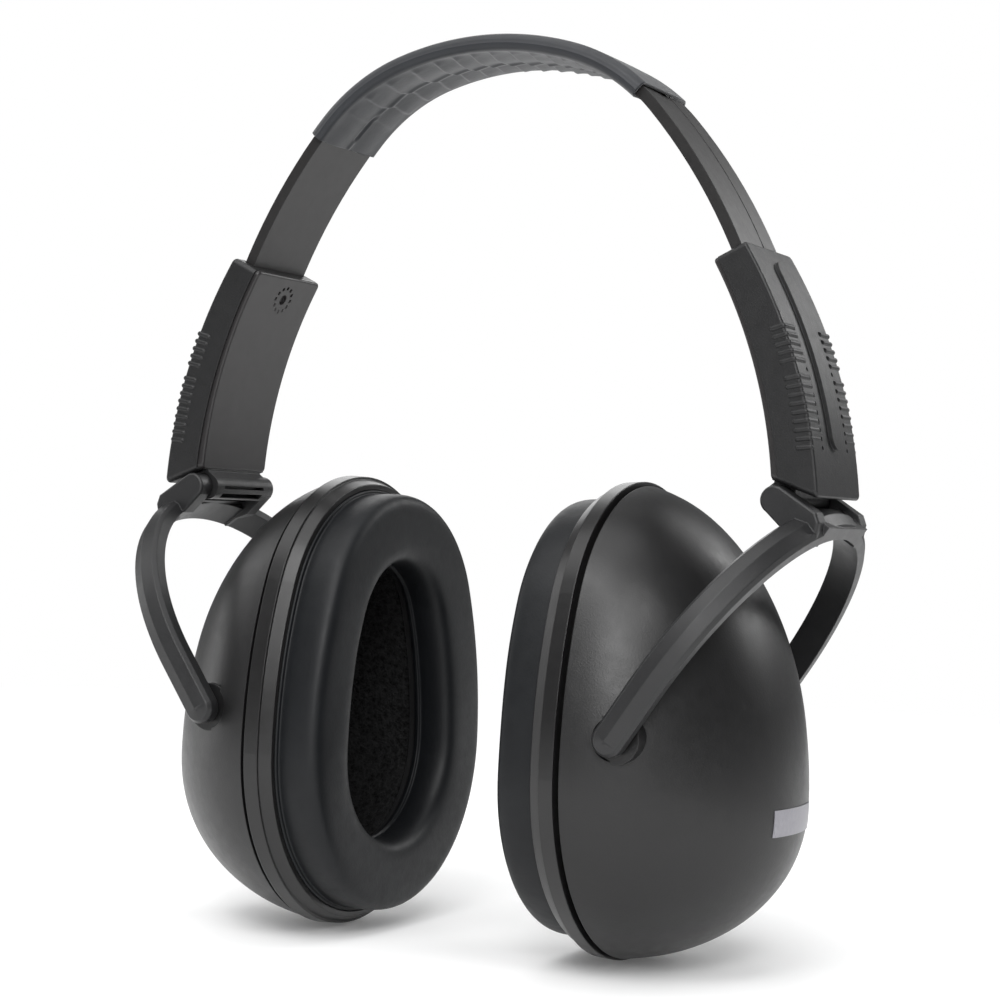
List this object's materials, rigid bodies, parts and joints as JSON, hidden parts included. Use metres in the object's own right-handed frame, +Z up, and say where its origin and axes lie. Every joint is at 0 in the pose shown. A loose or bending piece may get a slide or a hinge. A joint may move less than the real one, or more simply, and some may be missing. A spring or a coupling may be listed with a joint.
{
  "type": "hearing protection earmuffs",
  "caption": "Folding hearing protection earmuffs: padded headband arch, telescoping sliders, hinged yokes and oval cups with soft ear cushions.",
  "frame": {"origin": "middle of the underside of the headband padding, where it rests on the crown of the head", "axes": "+Z up, X from ear to ear with +X towards the right-hand cup as seen from the front, -Y towards the front"},
  "size_m": [0.1664, 0.0876, 0.2011],
  "materials": {
    "band_plastic": "satin moulded nylon, finely textured edges",
    "sleeve_vinyl": "soft matte vinyl",
    "padding_foam": "soft open foam",
    "slider_plastic": "fine spark-textured moulded plastic",
    "cover_plastic": "smooth satin plastic",
    "spring_steel": "plain spring steel",
    "pin_steel": "dark smooth steel",
    "yoke_plastic": "satin moulded plastic",
    "cup_plastic": "satin finely textured plastic",
    "bezel_plastic": "polished black plastic",
    "plate_plastic": "plain moulded plastic",
    "cushion_skin": "smooth matte polyurethane film",
    "cushion_foam": "soft closed foam",
    "absorber_foam": "coarse open-cell foam",
    "label_film": "blank pale sticker"
  },
  "bodies": {
    "headband": {"headband": "band_plastic", "headband_sleeve": "sleeve_vinyl", "headband_foam": "padding_foam"},
    "slider_right": {"slider_housing_right": "slider_plastic", "slider_cover_right": "cover_plastic", "detent_spring_right": "spring_steel", "hinge_pin_right": "pin_steel"},
    "yoke_right": {"yoke_right": "yoke_plastic", "pivot_pins_right": "yoke_plastic"},
    "cup_right": {"cup_shell_right": "cup_plastic", "bezel_ring_right": "bezel_plastic", "cushion_plate_right": "plate_plastic", "cushion_skin_right": "cushion_skin", "cushion_foam_right": "cushion_foam", "sound_absorber_right": "absorber_foam", "rating_label_right": "label_film"},
    "slider_left": {"slider_housing_left": "slider_plastic", "slider_cover_left": "cover_plastic", "detent_spring_left": "spring_steel", "hinge_pin_left": "pin_steel"},
    "yoke_left": {"yoke_left": "yoke_plastic", "pivot_pins_left": "yoke_plastic"},
    "cup_left": {"cup_shell_left": "cup_plastic", "bezel_ring_left": "bezel_plastic", "cushion_plate_left": "plate_plastic", "cushion_skin_left": "cushion_skin", "cushion_foam_left": "cushion_foam", "sound_absorber_left": "absorber_foam"}
  },
  "joints": [
    {"name": "slide_right", "type": "hinge", "parent": "headband", "child": "slider_right", "pos_m": [-0.0557, 0, -0.0972], "axis": [0, 1, 0], "range_deg": [-13.2, 1.8]},
    {"name": "fold_right", "type": "hinge", "parent": "slider_right", "child": "yoke_right", "pos_m": [0.0722, 0, -0.0961], "axis": [0, 1, 0], "range_deg": [0, 28]},
    {"name": "tilt_right", "type": "hinge", "parent": "yoke_right", "child": "cup_right", "pos_m": [0.049, 0, -0.1449], "axis": [0, 1, 0], "range_deg": [-12, 12]},
    {"name": "slide_left", "type": "hinge", "parent": "headband", "child": "slider_left", "pos_m": [0.0557, 0, -0.0972], "axis": [0, 1, 0], "range_deg": [-1.8, 13.2]},
    {"name": "fold_left", "type": "hinge", "parent": "slider_left", "child": "yoke_left", "pos_m": [-0.0722, 0, -0.0961], "axis": [0, 1, 0], "range_deg": [-28, 0]},
    {"name": "tilt_left", "type": "hinge", "parent": "yoke_left", "child": "cup_left", "pos_m": [-0.049, 0, -0.1449], "axis": [0, 1, 0], "range_deg": [-12, 12]}
  ]
}
